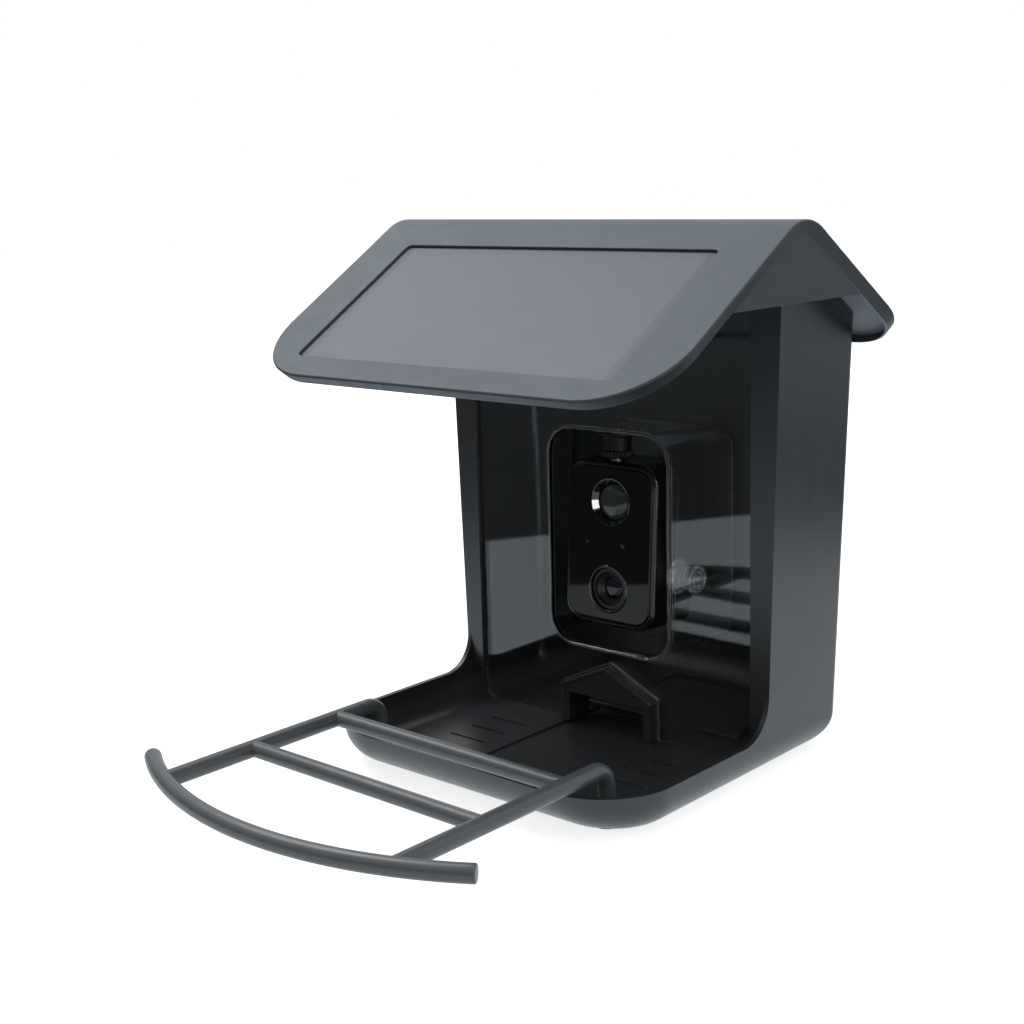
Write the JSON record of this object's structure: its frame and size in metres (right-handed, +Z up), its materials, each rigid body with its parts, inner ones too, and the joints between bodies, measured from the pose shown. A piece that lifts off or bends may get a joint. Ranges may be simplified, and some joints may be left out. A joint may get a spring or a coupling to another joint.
{
  "type": "smart bird feeder",
  "caption": "House-shaped bird feeder with a clear seed hopper, front tray, lift-out perch, hinged solar roof and a camera hung in a clear pocket of its front window.",
  "frame": {"origin": "on the flat base, on the symmetry plane, straight below the front edges of the hopper's side walls", "axes": "+X to the right of someone who faces the front, the front faces -Y, +Z up"},
  "size_m": [0.242, 0.3273, 0.2615],
  "materials": {
    "housing_plastic": "dark grey moulded plastic with a fine satin grain",
    "roof_plastic": "mid grey satin moulded plastic",
    "perch_plastic": "slate grey satin moulded bars",
    "clear_plastic": "clear, polished",
    "clear_silicone": "clear silicone rubber",
    "solar_glass": "tinted cover glass, slightly matt",
    "solar_cells": "dark blue-grey laminated cells",
    "camera_casing": "black satin plastic",
    "camera_gloss": "piano black, polished",
    "lens_glass": "coated dark lens glass",
    "pir_dome": "smoky translucent motion sensor lens",
    "status_lamp": "milky light guide",
    "steel": "stainless steel",
    "brass": "turned brass",
    "circuit_board": "green solder mask",
    "battery_sleeve": "shrink sleeve",
    "rubber": "soft matt black"
  },
  "bodies": {
    "hopper": {"housing": "housing_plastic", "rear_plate": "housing_plastic", "seed_chute": "housing_plastic", "outlet_hood": "housing_plastic", "plate_screw_1": "steel", "plate_screw_2": "steel", "plate_screw_3": "steel", "plate_screw_4": "steel", "plate_screw_5": "steel", "plate_screw_6": "steel", "mount_insert": "brass", "front_window": "clear_plastic", "side_plug": "clear_silicone", "hinge_pin_1": "steel", "hinge_pin_2": "steel"},
    "roof": {"roof_lid": "roof_plastic", "solar_glass": "solar_glass", "solar_cells": "solar_cells", "solar_junction_box": "camera_casing"},
    "perch": {"perch_frame": "perch_plastic"},
    "hanger": {"mount_post": "camera_casing", "mount_nut": "camera_casing", "locking_collar": "camera_casing"},
    "camera": {"ball_stud": "steel", "camera_front": "camera_casing", "camera_rear": "camera_casing", "camera_faceplate": "camera_gloss", "pir_ring": "camera_gloss", "pir_dome": "pir_dome", "pir_sensor": "steel", "lens_ring": "camera_gloss", "lens_barrel": "camera_casing", "lens_glass": "lens_glass", "status_led": "status_lamp", "light_sensor": "lens_glass", "main_board": "circuit_board", "battery_cell_1": "battery_sleeve", "battery_cell_2": "battery_sleeve", "case_screw_1": "steel", "case_screw_2": "steel", "case_screw_3": "steel", "case_screw_4": "steel"},
    "power_button": {"power_button": "rubber"},
    "usb_cover": {"usb_cover": "rubber"}
  },
  "joints": [
    {"name": "roof_hinge", "type": "hinge", "parent": "hopper", "child": "roof", "pos_m": [0, 0.078, 0.2012], "axis": [-1, 0, 0], "range_deg": [0, 75]},
    {"name": "perch_lift", "type": "slide", "parent": "hopper", "child": "perch", "axis": [0, 0, 1], "range_m": [0, 0.025]},
    {"name": "camera_pan", "type": "hinge", "parent": "hopper", "child": "hanger", "pos_m": [0, 0.0115, 0.15665], "axis": [0, 0.0593, 0.9982], "range_deg": [-9, 9]},
    {"name": "camera_tilt", "type": "hinge", "parent": "hanger", "child": "camera", "pos_m": [0, 0.01095, 0.14747], "axis": [1, 0, 0], "range_deg": [-10, 8]},
    {"name": "power_button_press", "type": "slide", "parent": "camera", "child": "power_button", "axis": [0, -0.9982, 0.0593], "range_m": [0, 0.0008], "stiffness_N_per_m": 1500},
    {"name": "usb_cover_pull", "type": "slide", "parent": "camera", "child": "usb_cover", "axis": [0, 0.9982, -0.0593], "range_m": [0, 0.006]}
  ]
}
